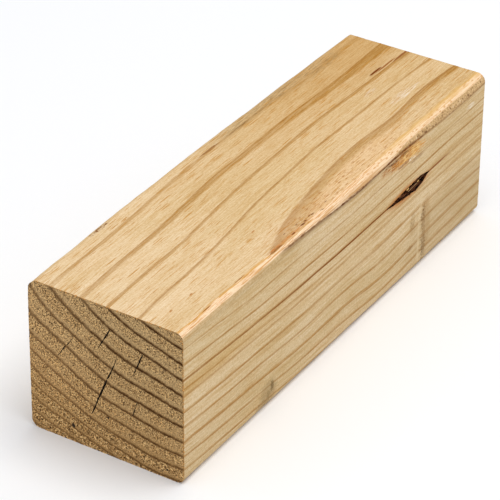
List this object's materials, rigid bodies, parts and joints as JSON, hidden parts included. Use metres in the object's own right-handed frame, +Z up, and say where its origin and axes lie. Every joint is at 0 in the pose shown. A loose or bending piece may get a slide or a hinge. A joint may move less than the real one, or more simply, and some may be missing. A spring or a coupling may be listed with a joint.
{
  "type": "square timber post",
  "caption": "Short square-section softwood timber post, dressed and sawn to length, with eased edges, drying checks in one end and a bark pocket in one side.",
  "frame": {"origin": "middle of the base, which lies on the floor", "axes": "+X along the grain from the end with the drying checks to the plain end, +Z up, -Y towards the side with the bark pocket"},
  "size_m": [0.3, 0.09, 0.088],
  "materials": {
    "softwood": "bare dressed softwood, matt, with sawn ends"
  },
  "bodies": {
    "root": {"timber_post": "softwood"}
  },
  "joints": []
}
